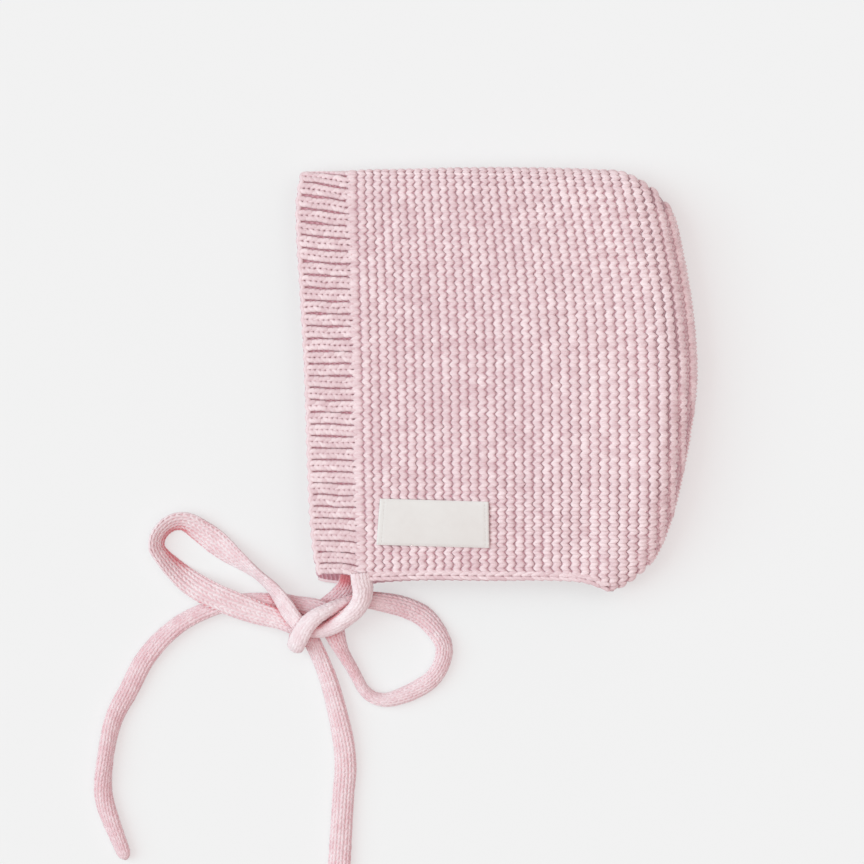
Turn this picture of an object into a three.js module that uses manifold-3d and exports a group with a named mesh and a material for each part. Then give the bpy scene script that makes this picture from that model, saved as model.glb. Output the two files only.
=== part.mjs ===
// A knitted baby bonnet lying on its side, its two layers one over the other and its ties in a bow.
// Millimetres, +Z up. +X runs from the face to the back of the head, +Y from the neck to the crown fold.
// The origin is on the surface that the bonnet lies on, under the middle of its outline.

import * as THREE from "three";
import Module from "manifold-3d";

const wasm = await Module();
wasm.setup();

// Driving dimensions
const WALL = 3; // thickness of the knitted cloth
const GAP = 0.3; // clearance between pieces that meet
const SEAM_HEIGHT = 8; // height at which the two layers meet along the fold
const FOLD_REACH = 15; // how far in from the fold the upper layer has risen to its full height
const FLOOR_REACH = 6; // how far in from the fold the lower layer has come down to the surface
const NECK_HEIGHT = 14; // top of the upper layer at the neck edge
const NECK_RISE = 42; // how far above the neck edge the upper layer is at its full height
const MOUTH_RUN = 6; // how far the hollow's cutter runs out past the open edges

const RIDGES = 36; // garter ridges from the band to the back, at the widest
const RIDGE_SPREAD = 0.06; // how much wider the ridges get towards the back
const RIDGE_RELIEF = 0.45; // half the height from valley to crest
const RIBS = 33; // knitted ribs on one layer of the band
const RIB_RELIEF = 0.55; // half the height from valley to crest
const POINTS_PER_RIB = 4;

const LABEL = { x: -23.3, y: -54.7, length: 41.6, width: 17.4, thick: 1, turn: -0.028 };

const TIE = { width: 7, thick: 3.4, sides: 10, step: 8 };

// The outline seen from above. Each row is one point that the edge runs through.
const BACK_EDGE = [
  { y: -80, x: 44.2 },
  { y: -76, x: 50 },
  { y: -68, x: 57.8 },
  { y: -55.5, x: 64.6 },
  { y: -40, x: 69.2 },
  { y: -20, x: 73 },
  { y: 2, x: 75.4 },
  { y: 28, x: 73.4 },
  { y: 50, x: 69.4 },
  { y: 60, x: 66.8 },
  { y: 67, x: 62.8 },
  { y: 72, x: 57 },
  { y: 76, x: 49.6 },
  { y: 78.5, x: 40 },
  { y: 80, x: 22 },
];
const FACE_EDGE = [
  { y: -76, x: -66.6 },
  { y: -64, x: -69 },
  { y: -43, x: -70.6 },
  { y: 3, x: -72.2 },
  { y: 28, x: -73.6 },
  { y: 64, x: -75.4 },
  { y: 80, x: -73 },
];
const BAND_JOINT = [
  { y: -77, x: -48.6 },
  { y: 0, x: -50.4 },
  { y: 80, x: -53.4 },
];
const CROWN_EDGE = [
  { x: -76, y: 77.4 },
  { x: -52, y: 79 },
  { x: 0, y: 80 },
  { x: 34, y: 79.4 },
  { x: 76, y: 77 },
];
const NECK_EDGE = [
  { x: -68, y: -73.4 },
  { x: -48, y: -75.2 },
  { x: -27, y: -74.8 },
  { x: 0, y: -75.6 },
  { x: 30, y: -77.6 },
  { x: 44, y: -79.8 },
];
// The line that the last ridge follows: along the back above the middle, straight down below it.
const LAST_RIDGE = [
  { y: -80, x: 75.2 },
  { y: 2, x: 75.2 },
  { y: 28, x: 73.2 },
  { y: 50, x: 69.2 },
  { y: 80, x: 62 },
];
// How high the upper layer stands from the face edge to the back.
const LAYER_HEIGHT = [
  { x: -76, top: 13.4 },
  { x: -50, top: 15 },
  { x: -10, top: 19 },
  { x: 30, top: 22 },
  { x: 60, top: 22 },
  { x: 76, top: 20 },
];

// The tie from the upper layer's corner: under the bow's lobe, round the left loop, out as the right tail.
const NEAR_ROUTE = [
  [-49.9, -76.7, 12.3],
  [-48.9, -79.4, 12.6],
  [-48.9, -83, 12.8],
  [-50.6, -87.2, 12.6],
  [-54, -90.9, 12],
  [-58.2, -94.3, 11.2],
  [-63.1, -96.6, 10.2],
  [-68, -96.9, 9.6],
  [-72.5, -94.7, 9.5],
  [-76.2, -90.5, 9.4],
  [-79.3, -85.7, 8.4],
  [-83.8, -79.6, 6.6],
  [-90.5, -73.6, 4.4],
  [-101.1, -65.7, 2.6],
  [-110.1, -58.9, 2],
  [-118, -54, 2],
  [-123.7, -53.7, 2],
  [-127.8, -57.8, 2],
  [-128.2, -63.8, 2],
  [-124.8, -70.2, 2.4],
  [-117.3, -78.1, 3.6],
  [-108.6, -82.8, 5.4],
  [-100, -86, 5.8],
  [-90.2, -89.4, 5.7],
  [-80.8, -92.8, 5.9],
  [-74.4, -95.8, 6],
  [-70, -99.2, 5.6],
  [-67.2, -104, 3.9],
  [-64.6, -109.8, 2.5],
  [-61.9, -117.7, 2],
  [-57.4, -137.2, 2],
  [-56.6, -147.2, 2],
  [-57.4, -157.6, 2],
  [-58.9, -183.2, 2],
  [-59.3, -190, 2],
];
// The tie from the lower layer's corner: under the knot, up and over as its lobe, round the right loop, out as
// the left tail.
const FAR_ROUTE = [
  [-56.7, -76.4, 1.8],
  [-59.3, -79.6, 1.8],
  [-65.7, -86.4, 1.8],
  [-69.5, -90.6, 1.8],
  [-72.5, -95.1, 1.8],
  [-74.6, -99.6, 2],
  [-76, -103.2, 4.5],
  [-76.4, -104.4, 7.8],
  [-75.7, -103, 11],
  [-74, -99.2, 13],
  [-71.5, -94.7, 13.5],
  [-68, -90.6, 13.4],
  [-63.1, -87.2, 12.4],
  [-58.2, -84.7, 10.6],
  [-53.3, -83.4, 8.8],
  [-48.4, -83.4, 8.2],
  [-43.1, -84.5, 7],
  [-37.5, -85.7, 5],
  [-31.4, -87.2, 3.2],
  [-25.4, -90.2, 2.2],
  [-18.3, -100.7, 2],
  [-18.6, -107.5, 2],
  [-28.4, -118.8, 2],
  [-42.7, -121.4, 2],
  [-48.4, -118, 2],
  [-52.5, -112.4, 2.4],
  [-55.9, -106, 3.8],
  [-59.1, -100.2, 5.4],
  [-62.7, -94.4, 5.8],
  [-66.4, -89.8, 5.7],
  [-70.2, -86.8, 5.2],
  [-74.7, -84.5, 3.6],
  [-80.8, -83.4, 2],
  [-95.4, -82.6, 1.9],
  [-109.8, -89.8, 1.9],
  [-128.6, -104.1, 2],
  [-144.4, -129.7, 2],
  [-148.2, -152.7, 2],
  [-147.4, -160.6, 2],
  [-139.5, -182, 2],
];

// Reads a column of a table at a place, by a smooth curve through the table's rows.
function along(table, key, column, at) {
  const last = table.length - 1;
  let i = 0;
  while (i < last - 1 && at > table[i + 1][key]) i += 1;
  const slope = (k) => {
    const a = table[Math.max(0, k - 1)];
    const b = table[Math.min(last, k + 1)];
    return (b[column] - a[column]) / (b[key] - a[key]);
  };
  const [from, to] = [table[i], table[i + 1]];
  const span = to[key] - from[key];
  const t = THREE.MathUtils.clamp((at - from[key]) / span, 0, 1);
  const bend = t * t * (3 - 2 * t);
  const leave = t * (1 - t) * (1 - t) * span * slope(i);
  const arrive = t * t * (1 - t) * span * slope(i + 1);
  return from[column] * (1 - bend) + to[column] * bend + leave - arrive;
}
const backX = (y) => along(BACK_EDGE, "y", "x", y);
const faceX = (y) => along(FACE_EDGE, "y", "x", y);
const jointX = (y) => along(BAND_JOINT, "y", "x", y);
const crownY = (x) => along(CROWN_EDGE, "x", "y", x);
const neckY = (x) => along(NECK_EDGE, "x", "y", x);

// How far a point of the plan lies in from the folded edges, the crown and the back.
function foldDistance(x, y) {
  const down = crownY(x) - y;
  const front = backX(y) - x;
  if (down <= 0 || front <= 0) return 0;
  return (down * front) / Math.hypot(down, front);
}

// A fold's rounding: 0 at the fold itself, 1 from its reach inwards, a quarter of an ellipse between.
function rounding(distance, reach) {
  const out = 1 - THREE.MathUtils.clamp(distance / reach, 0, 1);
  return Math.sqrt(1 - out * out);
}

// The height of the upper layer's top away from the folds.
function layerTop(x, y) {
  const full = along(LAYER_HEIGHT, "x", "top", x);
  const rise = THREE.MathUtils.smoothstep(y - neckY(x), 0, NECK_RISE);
  return NECK_HEIGHT + (full - NECK_HEIGHT) * rise;
}

// The upper and lower height of the bonnet at a point of the plan. With inset 0 this is its outside, and with
// inset WALL the hollow.
function heights(x, y, inset) {
  const distance = foldDistance(x, y) - inset;
  const up = layerTop(x, y) - inset - SEAM_HEIGHT;
  const down = SEAM_HEIGHT - inset;
  return {
    top: SEAM_HEIGHT + up * rounding(distance, FOLD_REACH - inset),
    bottom: SEAM_HEIGHT - down * rounding(distance, FLOOR_REACH - inset),
  };
}

// A line of the plan that runs with the ridges: share 0 is the band's joint, share 1 the last ridge.
function ridgeX(share, y) {
  const spread = share + RIDGE_SPREAD * (share ** 3 - share);
  const first = jointX(y) + GAP / 2;
  return first + (along(LAST_RIDGE, "y", "x", y) - first) * spread;
}

// Walks along a ridge line from inside the outline to where a test first fails, and returns that y.
function edgeOf(share, from, to, inside) {
  let [a, b] = [from, to];
  for (let k = 0; k < 40; k += 1) {
    const middle = (a + b) / 2;
    if (inside(ridgeX(share, middle), middle)) a = middle;
    else b = middle;
  }
  return a;
}

const EDGE = 0.1; // how far inside a folded edge a section ends, so that its two sides don't meet in a point
const MIDDLE_Y = 24; // a height at which every ridge line is inside the outline
const END_STEPS = [0, 0.05, 0.2, 0.5, 1]; // shares of FOLD_REACH, close together where the fold is round
const MIDDLE_STEPS = 6;

// The places along a ridge line at which a section has its points, from the crown to the neck.
function placesBetween(high, low) {
  const reach = Math.min(FOLD_REACH, (high - low) / 2.6);
  const inner = high - low - 2 * reach;
  const places = END_STEPS.map((step) => high - step * reach);
  for (let k = 1; k < MIDDLE_STEPS; k += 1) places.push(high - reach - (inner * k) / MIDDLE_STEPS);
  return [...places, ...END_STEPS.toReversed().map((step) => low + step * reach)];
}

// One section of the crown's outside, along a ridge line, raised or lowered by the ridge's relief.
function crownSection(share, relief) {
  const inside = (x, y) => foldDistance(x, y) > EDGE && y > neckY(x);
  const high = edgeOf(share, MIDDLE_Y, 90, inside);
  const low = edgeOf(share, MIDDLE_Y, -90, inside);
  const places = placesBetween(high, low);
  const upper = places.map((y) => {
    const x = ridgeX(share, y);
    const { top } = heights(x, y, 0);
    const flat = rounding(foldDistance(x, y), FOLD_REACH);
    return new THREE.Vector3(x, y, top + relief * flat);
  });
  const lower = places.map((y) => {
    const x = ridgeX(share, y);
    return new THREE.Vector3(x, y, heights(x, y, 0).bottom);
  });
  return { upper, lower };
}

// One section of the hollow, along the same kind of line. Where it reaches the neck it runs on out of it.
function hollowSection(share, shift) {
  const clear = (x, y) => foldDistance(x, y) > WALL + EDGE;
  const high = edgeOf(share, MIDDLE_Y, 90, clear);
  const low = edgeOf(share, MIDDLE_Y, -90, (x, y) => clear(x, y) && y > neckY(x));
  const open = low - neckY(ridgeX(share, low)) < 0.01;
  const places = placesBetween(high, low);
  if (open) places[places.length - 1] = low - MOUTH_RUN;
  const at = (side) =>
    places.map((y) => {
      const within = Math.max(y, low);
      const x = ridgeX(share, within);
      return new THREE.Vector3(x + shift, y, heights(x, within, WALL)[side]);
    });
  return { upper: at("top"), lower: at("bottom") };
}

// Joins sections of the same number of points into one closed solid, with a flat strip across each end.
function solidThrough(sections) {
  const loops = sections.map(({ upper, lower }) => [...upper, ...lower.toReversed()]);
  const count = loops[0].length;
  const half = sections[0].upper.length;
  const triangles = [];
  const quad = (a, b, c, d) => triangles.push(a, b, c, a, c, d);
  for (let s = 0; s + 1 < loops.length; s += 1) {
    for (let i = 0; i < count; i += 1) {
      const j = (i + 1) % count;
      quad(s * count + i, s * count + j, (s + 1) * count + j, (s + 1) * count + i);
    }
  }
  const end = (loops.length - 1) * count;
  for (let i = 0; i + 1 < half; i += 1) {
    const [a, b, c, d] = [i, i + 1, count - 2 - i, count - 1 - i];
    quad(a, d, c, b);
    quad(end + a, end + b, end + c, end + d);
  }
  const points = Float32Array.from(loops.flat().flatMap((p) => [p.x, p.y, p.z]));
  return new wasm.Manifold(
    new wasm.Mesh({ numProp: 3, vertProperties: points, triVerts: Uint32Array.from(triangles) }),
  );
}

function geometryOf(solid) {
  const made = solid.getMesh();
  const geometry = new THREE.BufferGeometry();
  geometry.setAttribute("position", new THREE.BufferAttribute(made.vertProperties, 3));
  geometry.setIndex(new THREE.BufferAttribute(made.triVerts, 1));
  geometry.computeVertexNormals();
  return geometry;
}

// The crown: a closed form with a section for each crest and valley, less the hollow for the head.
const HOLLOW_SECTIONS = 16;
const HOLLOW_END = 0.965; // the last ridge line that still has room for the hollow between its walls

function crownGeometry() {
  const outside = [];
  for (let k = 0; k <= 2 * RIDGES; k += 1) {
    outside.push(crownSection(k / (2 * RIDGES), k % 2 ? RIDGE_RELIEF : -RIDGE_RELIEF));
  }
  const hollow = [hollowSection(0, -MOUTH_RUN)];
  for (let k = 1; k <= HOLLOW_SECTIONS; k += 1) hollow.push(hollowSection((k / HOLLOW_SECTIONS) * HOLLOW_END, 0));
  return geometryOf(solidThrough(outside).subtract(solidThrough(hollow)));
}

// The band: a ribbed strip round the face edge, folded over the crown line.
const BAND_STEPS = 3; // sections from the face edge to the joint, less one
const FINE = 240; // steps in which the band's profile is measured
const FAR_POINTS = 10; // points of the band's flat lower layer

function bandX(share, y) {
  const face = faceX(y);
  return face + (jointX(y) - GAP / 2 - face) * share;
}

// A smooth profile from the upper layer's neck corner to the fold, as points at even lengths along it.
function bandProfile(share, inset, count) {
  const yAt = (low, high, k) => low + (high - low) * Math.sin((Math.PI / 2) * (k / FINE));
  const x = bandX(share, 0);
  const low = neckY(x);
  const high = crownY(x) - inset - EDGE;
  const line = [];
  for (let k = 0; k <= FINE; k += 1) {
    const y = yAt(low, high, k);
    line.push(new THREE.Vector3(bandX(share, y), y, heights(bandX(share, y), y, inset).top));
  }
  const lengths = [0];
  for (let k = 1; k <= FINE; k += 1) lengths.push(lengths[k - 1] + line[k].distanceTo(line[k - 1]));
  const places = [];
  for (let i = 0; i <= count; i += 1) {
    const wanted = (lengths[FINE] * i) / count;
    let k = 1;
    while (k < FINE && lengths[k] < wanted) k += 1;
    const t = (wanted - lengths[k - 1]) / (lengths[k] - lengths[k - 1]);
    const point = line[k - 1].clone().lerp(line[k], t);
    const run = line[k].clone().sub(line[k - 1]);
    const normal = new THREE.Vector3(0, -run.z, run.y).normalize();
    places.push({ point, normal });
  }
  return places;
}

// One side of the band's wall: the ribbed upper layer, then the lower layer lying flat.
function bandSide(share, inset, relief) {
  const count = RIBS * POINTS_PER_RIB;
  const ribbed = bandProfile(share, inset, count).map(({ point, normal }, i) => {
    const wave = -Math.cos((2 * Math.PI * i) / POINTS_PER_RIB);
    return point.addScaledVector(normal, relief * wave);
  });
  const x = bandX(share, 0);
  const [low, high] = [neckY(x), crownY(x) - inset - EDGE];
  const flat = [];
  for (let k = 0; k <= FAR_POINTS; k += 1) {
    const y = low + (high - low) * Math.cos((Math.PI / 2) * (k / FAR_POINTS));
    flat.push(new THREE.Vector3(bandX(share, y), y, heights(bandX(share, y), y, inset).bottom));
  }
  return [...ribbed, ...flat];
}

function bandGeometry() {
  const sections = [];
  for (let k = 0; k <= BAND_STEPS; k += 1) {
    const share = k / BAND_STEPS;
    sections.push({
      upper: bandSide(share, 0, RIB_RELIEF).toReversed(),
      lower: bandSide(share, WALL, RIB_RELIEF / 2).toReversed(),
    });
  }
  return geometryOf(solidThrough(sections));
}

// The label: a thin plate that follows the upper layer just clear of its ridges.
const LABEL_CELLS = { long: 8, wide: 4 };

function labelGeometry() {
  const lift = RIDGE_RELIEF + GAP;
  const sections = [];
  for (let i = 0; i <= LABEL_CELLS.long; i += 1) {
    const row = [];
    for (let j = 0; j <= LABEL_CELLS.wide; j += 1) {
      const a = LABEL.length * (i / LABEL_CELLS.long - 0.5);
      const b = LABEL.width * (0.5 - j / LABEL_CELLS.wide);
      const x = LABEL.x + a * Math.cos(LABEL.turn) - b * Math.sin(LABEL.turn);
      const y = LABEL.y + a * Math.sin(LABEL.turn) + b * Math.cos(LABEL.turn);
      row.push(new THREE.Vector3(x, y, heights(x, y, 0).top + lift));
    }
    const raised = row.map((p) => p.clone().setZ(p.z + LABEL.thick));
    sections.push({ upper: raised, lower: row });
  }
  return geometryOf(solidThrough(sections));
}

// A tie: a flat oval drawn along its route.
function tieGeometry(route) {
  const curve = new THREE.CatmullRomCurve3(route.map((p) => new THREE.Vector3(...p)));
  const oval = [];
  for (let k = 0; k < TIE.sides; k += 1) {
    const angle = (2 * Math.PI * (k + 0.5)) / TIE.sides;
    oval.push(new THREE.Vector2((TIE.thick / 2) * Math.cos(angle), (TIE.width / 2) * Math.sin(angle)));
  }
  const steps = Math.round(curve.getLength() / TIE.step);
  const options = { steps, extrudePath: curve, bevelEnabled: false };
  return new THREE.ExtrudeGeometry(new THREE.Shape(oval), options);
}

const WOOL = new THREE.MeshStandardMaterial({ color: "#e3bfc6", roughness: 0.9, metalness: 0 });
const RIB_WOOL = new THREE.MeshStandardMaterial({ color: "#e2bac2", roughness: 0.9, metalness: 0 });
const TIE_WOOL = new THREE.MeshStandardMaterial({ color: "#e9d2d8", roughness: 0.9, metalness: 0 });
const SATIN = new THREE.MeshStandardMaterial({ color: "#efe9e6", roughness: 0.6, metalness: 0 });

function piece(name, geometry, material) {
  const mesh = new THREE.Mesh(geometry, material);
  mesh.name = name;
  return mesh;
}

const bonnet = new THREE.Group();
bonnet.add(
  piece("crown", crownGeometry(), WOOL),
  piece("face_band", bandGeometry(), RIB_WOOL),
  piece("side_label", labelGeometry(), SATIN),
  piece("tie_near", tieGeometry(NEAR_ROUTE), TIE_WOOL),
  piece("tie_far", tieGeometry(FAR_ROUTE), TIE_WOOL),
);

export default bonnet;
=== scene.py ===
# %% [markdown]
# # A knitted baby bonnet lying on its side
# The real bonnet is knitted from one soft pink yarn: a garter-stitch crown, a ribbed band round the face,
# and two narrow knitted tubes that tie in a bow. It lies on one cheek, so its two layers rest one on the
# other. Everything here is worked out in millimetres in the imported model's own frame, and turned into
# metres only when a mesh is made. +X runs from the face to the back of the head, +Y from the neck to the
# crown, +Z up.

import math

import bpy
import numpy as np
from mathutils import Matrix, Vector


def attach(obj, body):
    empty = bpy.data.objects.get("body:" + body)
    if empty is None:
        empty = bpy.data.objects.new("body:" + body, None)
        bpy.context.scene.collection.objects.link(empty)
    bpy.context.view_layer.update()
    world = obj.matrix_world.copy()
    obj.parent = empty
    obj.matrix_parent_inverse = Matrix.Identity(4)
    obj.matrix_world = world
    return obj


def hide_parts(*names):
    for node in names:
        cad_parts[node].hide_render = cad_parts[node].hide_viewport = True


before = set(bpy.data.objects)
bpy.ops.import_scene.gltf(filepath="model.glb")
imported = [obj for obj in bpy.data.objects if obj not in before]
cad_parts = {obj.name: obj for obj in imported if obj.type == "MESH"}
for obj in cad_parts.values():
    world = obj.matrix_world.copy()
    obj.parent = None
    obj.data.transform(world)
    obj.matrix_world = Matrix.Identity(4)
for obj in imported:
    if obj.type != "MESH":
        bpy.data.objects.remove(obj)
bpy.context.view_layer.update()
MM = 0.001
chance = np.random.default_rng(11)
print("nodes", sorted(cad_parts))

# %% [markdown]
# ## The camera
# The photograph looks straight down on a picture 325 mm wide. A long lens far above keeps the bonnet's
# height from spreading its outline, and a camera with no turn at all already looks down with +Y up the
# picture.

# %% Place the camera straight above
VIEW_WIDTH = 325.3
VIEW_CENTRE = (-23.9, -20.5)
CAMERA_HEIGHT = 1500
OUTLINE_HEIGHT = 8  # height above the table at which the picture has its width
SENSOR = 36


def placed(name, data):
    made = bpy.data.objects.new(name, data)
    bpy.context.scene.collection.objects.link(made)
    return made


camera_data = bpy.data.cameras.new("overhead")
camera_data.sensor_width = SENSOR
camera_data.lens = SENSOR * (CAMERA_HEIGHT - OUTLINE_HEIGHT) / VIEW_WIDTH
camera_data.clip_end = 20
camera = placed("overhead", camera_data)
camera.location = (VIEW_CENTRE[0] * MM, VIEW_CENTRE[1] * MM, CAMERA_HEIGHT * MM)
bpy.context.scene.camera = camera
print("lens", round(camera_data.lens, 1), "mm")

# %% [markdown]
# ## Meshes from arrays
# Knitting is thousands of small loops. Adding them one by one through operators would take minutes, so each
# group of loops is worked out as one numpy array and becomes one mesh. A number kept on each point, such as
# how far it is lifted out of the cloth, travels with the mesh as an attribute that a material can read.


# %% A mesh from points and four-sided faces
TABLE_GAP = 0.05  # yarn that lies on the table stays this far clear of it


def unit(vectors):
    return vectors / np.maximum(np.linalg.norm(vectors, axis=-1, keepdims=True), 1e-9)


def knit_piece(name, points, quads, values):
    mesh = bpy.data.meshes.new(name)
    points = np.asarray(points, float).reshape(-1, 3) * MM
    quads = np.asarray(quads, np.int32).reshape(-1, 4)
    mesh.vertices.add(len(points))
    mesh.vertices.foreach_set("co", points.ravel())
    mesh.loops.add(quads.size)
    mesh.loops.foreach_set("vertex_index", quads.ravel())
    mesh.polygons.add(len(quads))
    mesh.polygons.foreach_set("loop_start", np.arange(0, quads.size, 4, dtype=np.int32))
    mesh.polygons.foreach_set("use_smooth", np.ones(len(quads), bool))
    mesh.update(calc_edges=True)
    for key, column in values.items():
        attribute = mesh.attributes.new(key, "FLOAT", "POINT")
        attribute.data.foreach_set("value", np.asarray(column, np.float32).ravel())
    piece = placed(name, mesh)
    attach(piece, "root")
    print(name, len(points), "points", 2 * len(quads), "triangles")
    return piece


def ring_quads(strands, rings, sides):
    """The faces between neighbouring rings of points, for many tubes of one length."""
    index = np.arange(strands * rings * sides).reshape(strands, rings, sides)
    beside = np.roll(index, -1, axis=2)
    corners = [index[:, :-1], index[:, 1:], beside[:, 1:], beside[:, :-1]]
    return np.stack(corners, axis=-1).reshape(-1, 4)


def lie_on_table(points):
    """Knitting that lies on the table is pressed flat by its own weight."""
    points[..., 2] = np.maximum(points[..., 2], TABLE_GAP)
    return points


def yarn_piece(name, parts):
    """One piece from several groups of tubes, each given as its points and their values."""
    points, quads, values, start = [], [], [], 0
    for made, columns in parts:
        strands, rings, sides = made.shape[:3]
        points.append(made.reshape(-1, 3))
        quads.append(ring_quads(strands, rings, sides) + start)
        values.append({key: np.ravel(column) for key, column in columns.items()})
        start += strands * rings * sides
    columns = {key: np.concatenate([v[key] for v in values]) for key in values[0]}
    return knit_piece(name, lie_on_table(np.concatenate(points)), np.concatenate(quads), columns)


# %% [markdown]
# ## Tables and smooth lines
# The sizes of the bonnet are short tables of places that an edge runs through. A cubic curve through the
# rows gives the edge between them, and a rounded curve through a tie's places gives its line.


# %% Read a table smoothly, and draw a line through places
CURVE_STEPS = 40  # points of a rounded line between two places, before they are spaced evenly


def eased(t):
    return t * t * (3 - 2 * t)


def smooth_through(rows, at):
    place, value = np.array(rows, float).T
    last = len(place) - 1
    before = np.maximum(np.arange(last + 1) - 1, 0)
    after = np.minimum(np.arange(last + 1) + 1, last)
    slope = (value[after] - value[before]) / (place[after] - place[before])
    at = np.asarray(at, float)
    i = np.searchsorted(place[1:-1], at)
    span = place[i + 1] - place[i]
    t = np.clip((at - place[i]) / span, 0, 1)
    bend = eased(t)
    leave = t * (1 - t) ** 2 * span * slope[i]
    arrive = t * t * (1 - t) * span * slope[i + 1]
    return value[i] * (1 - bend) + value[i + 1] * bend + leave - arrive


def lengths_along(path):
    return np.concatenate([[0], np.cumsum(np.linalg.norm(np.diff(path, axis=0), axis=1))])


def at_lengths(path, wanted):
    """Points at some lengths along a path. The path may carry more columns than three, and all are read."""
    length = lengths_along(path[:, :3])
    return np.stack([np.interp(wanted, length, column) for column in path.T], axis=-1)


def line_through(places, step):
    """A rounded line through places, never thrown wide at a close pair, as points about step apart."""
    p = np.array(places, float)
    p = np.concatenate([[2 * p[0] - p[1]], p, [2 * p[-1] - p[-2]]])
    gap = np.sqrt(np.linalg.norm(np.diff(p, axis=0), axis=1))[:, None]
    before, inside, after = gap[:-2], gap[1:-1], gap[2:]
    a, b, c, d = p[:-3], p[1:-2], p[2:-1], p[3:]
    leave = ((b - a) / before - (c - a) / (before + inside) + (c - b) / inside) * inside
    arrive = ((c - b) / inside - (d - b) / (inside + after) + (d - c) / after) * inside
    t = np.linspace(0, 1, CURVE_STEPS, endpoint=False)[:, None, None]
    square = 3 * (c - b) - 2 * leave - arrive
    cube = 2 * (b - c) + leave + arrive
    pieces = b + leave * t + square * t**2 + cube * t**3
    dense = np.concatenate([pieces.transpose(1, 0, 2).reshape(-1, 3), p[-2:-1]])
    total = lengths_along(dense)[-1]
    return at_lengths(dense, np.linspace(0, total, int(round(total / step)) + 1))


# %% [markdown]
# ## Yarn
# All the knitting below is yarn laid along lines. A strand is a tube with an oval section, wider than it is
# high, because loops press each other flat. The section has more corners on its upper side, which is the
# one that shows.

# %% Tubes of yarn along many lines at once
UPPER_CORNERS = (-90, -12, 30, 70, 110, 150, 192)  # degrees round the section
PLAIN_CORNERS = (-90, -18, 54, 126, 198)
FUZZ = 0.035  # how far spun wool strays from a smooth tube


def yarn_tubes(paths, sides, ups, wide, high, level, corners, tone=None):
    """level is each point's height above the cloth, and goes into the lift attribute with the tube's own."""
    if tone is None:
        tone = chance.uniform(0, 1, (len(paths), 1))
    angle = np.radians(corners)
    beside = (wide[..., None] * np.cos(angle))[..., None] * sides[:, :, None]
    above = (high[..., None] * np.sin(angle))[..., None] * ups[:, :, None]
    points = paths[:, :, None] + beside + above
    points += FUZZ * chance.standard_normal(points.shape) * np.minimum(wide, 1)[..., None, None]
    lift = level[..., None] + high[..., None] * np.sin(angle)
    step = np.linalg.norm(np.diff(paths, axis=1), axis=2)
    along = np.concatenate([np.zeros((len(paths), 1)), np.cumsum(step, axis=1)], axis=1)
    turn = (np.array(corners) + 90) / 360
    values = {
        "lift": lift,
        "along": np.broadcast_to(along[:, :, None], lift.shape),
        "turn": np.broadcast_to(turn, lift.shape),
        "tone": np.broadcast_to(tone[..., None], lift.shape),
    }
    return points, values


def square_to(paths, ups):
    """The direction across each path, square to the way that it runs and to its upward direction."""
    return unit(np.cross(np.gradient(paths, axis=1), ups))


def leg_taper(w):
    """A short piece of yarn is full for most of its length and closes at both ends."""
    return np.sqrt(np.clip(1 - (2 * w - 1) ** 8, 0.02, 1))


def leg_spread(w):
    """A leg of a V starts in the middle of its stitch and has swung out fully about half way along."""
    return eased(np.clip(w / 0.55, 0, 1))


def yarn_legs(paths, ups, w, wide, high, level, corners, tone=None):
    """Short pieces of yarn. w runs from 0 to 1 along each of them."""
    taper = np.broadcast_to(leg_taper(w), level.shape)
    return yarn_tubes(paths, square_to(paths, ups), ups, wide * taper, high * taper, level, corners, tone)


def one_strand(path, across, up, wide, high, level, corners=UPPER_CORNERS, tone=None):
    wide, high, level = (np.broadcast_to(v, (1, len(path))) for v in (wide, high, level))
    return yarn_tubes(path[None], across[None], up[None], wide, high, level, corners, tone)


# %% [markdown]
# ## The ties
# Each tie is a narrow tube knitted in the round and lying more or less flat. It shows columns of V stitches
# along it, and dark dots where one sees between the legs of the Vs. So each leg is a short strand of yarn
# on an oval tube, over a plain inner tube that closes the gaps with a deeper pink, painted shade for the
# dots. The near tie makes the left loop and the right tail of the bow, the far tie the lobe, the right loop
# and the left tail. The left tail ends at the bottom of the picture and the right one just past it, so each
# is as long as the picture shows. Where a tie twists and stands on its edge it looks narrow, so a table gives
# its width, thickness and roll along its length. The yarn is smoother where the knot pulls it tight. Its
# colour carries painted light and shade: paler high on the knot and along the stretches that lie in the
# light, deeper along those in the knot's shade and where it faces another strand or a hollow.

# %% The routes of the two ties
NEAR_ROUTE = [
    (-50.4, -73.4, 12.9), (-50.2, -76.7, 12.6), (-49.8, -79.6, 12.6), (-50.2, -83, 12.8), (-52, -86.5, 12.6),
    (-55, -89.5, 12), (-58.8, -92.2, 11.2), (-63.3, -94.6, 10.2), (-68, -95.3, 9.6),
    (-72.5, -93.8, 9.5), (-76.2, -90.3, 9.4), (-79.3, -85.7, 8.4), (-83.8, -79.6, 6.6),
    (-90.5, -73.6, 4.4), (-101.1, -65.7, 2.6), (-110.1, -58.7, 2), (-117.2, -54.4, 2),
    (-122.4, -54.9, 2), (-127, -59.2, 2), (-127.8, -64, 2), (-123.8, -69.6, 2.4),
    (-116, -76.6, 3.6), (-108, -81.4, 5.4), (-100, -84.9, 5.8), (-90.2, -88.5, 5.7),
    (-80.8, -91.4, 5.9), (-74.4, -94.4, 6), (-70, -98.2, 5.6), (-67.2, -103.6, 3.9),
    (-64.6, -109.8, 2.5), (-61.9, -117.7, 2), (-57.4, -137.2, 2), (-56.6, -147.2, 2),
    (-57.4, -157.6, 2), (-58.9, -183.2, 2), (-59.3, -190, 2),
]
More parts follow.
